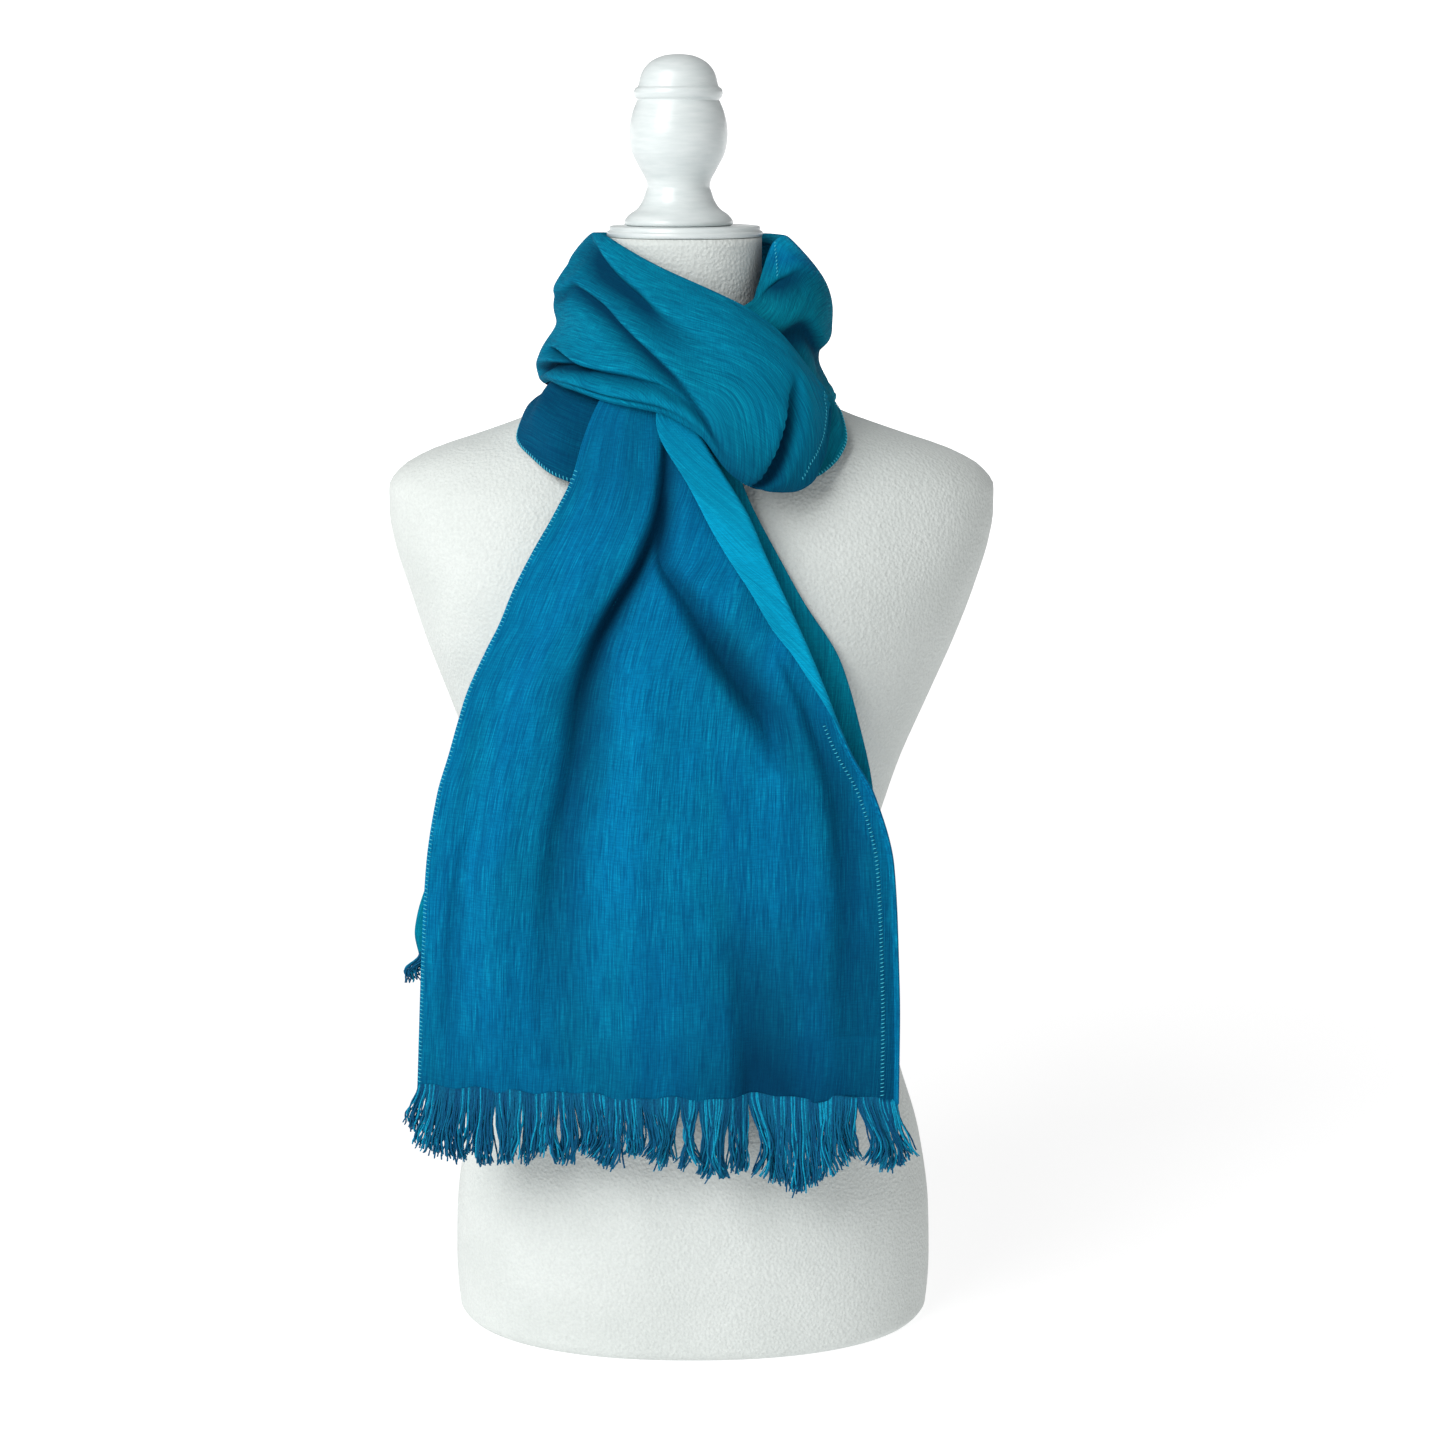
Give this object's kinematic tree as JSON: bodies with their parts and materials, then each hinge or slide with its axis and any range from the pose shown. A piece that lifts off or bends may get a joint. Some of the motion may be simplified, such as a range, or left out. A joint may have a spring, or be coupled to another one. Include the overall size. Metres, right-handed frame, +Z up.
{
  "type": "scarf on a dress form",
  "caption": "Long fringed scarf worn in a pull-through loop round the neck of a limbless dress form, both ends hanging down the chest.",
  "frame": {"origin": "centre of the dress form's flat base, on the surface it stands on", "axes": "+Z up, -Y the way the chest faces, +X towards the right hand of someone looking at the chest"},
  "size_m": [0.402, 0.2603, 0.859],
  "materials": {
    "form_jersey": "matt nubbly knit, off-white",
    "form_paint": "turned wood under semi-gloss white paint",
    "scarf_cloth": "soft woven cloth, teal blue with lighter lengthwise streaks",
    "scarf_yarn": "loose twisted yarn, dark teal with light teal"
  },
  "bodies": {
    "root": {"form_torso": "form_jersey", "form_neck_cap": "form_paint", "form_finial": "form_paint", "scarf_loop_upper": "scarf_cloth", "scarf_wrap_right": "scarf_cloth", "scarf_loop_lower": "scarf_cloth", "scarf_end_front": "scarf_cloth", "scarf_end_rear": "scarf_cloth", "fringe_front": "scarf_yarn", "fringe_rear": "scarf_yarn"}
  },
  "joints": []
}
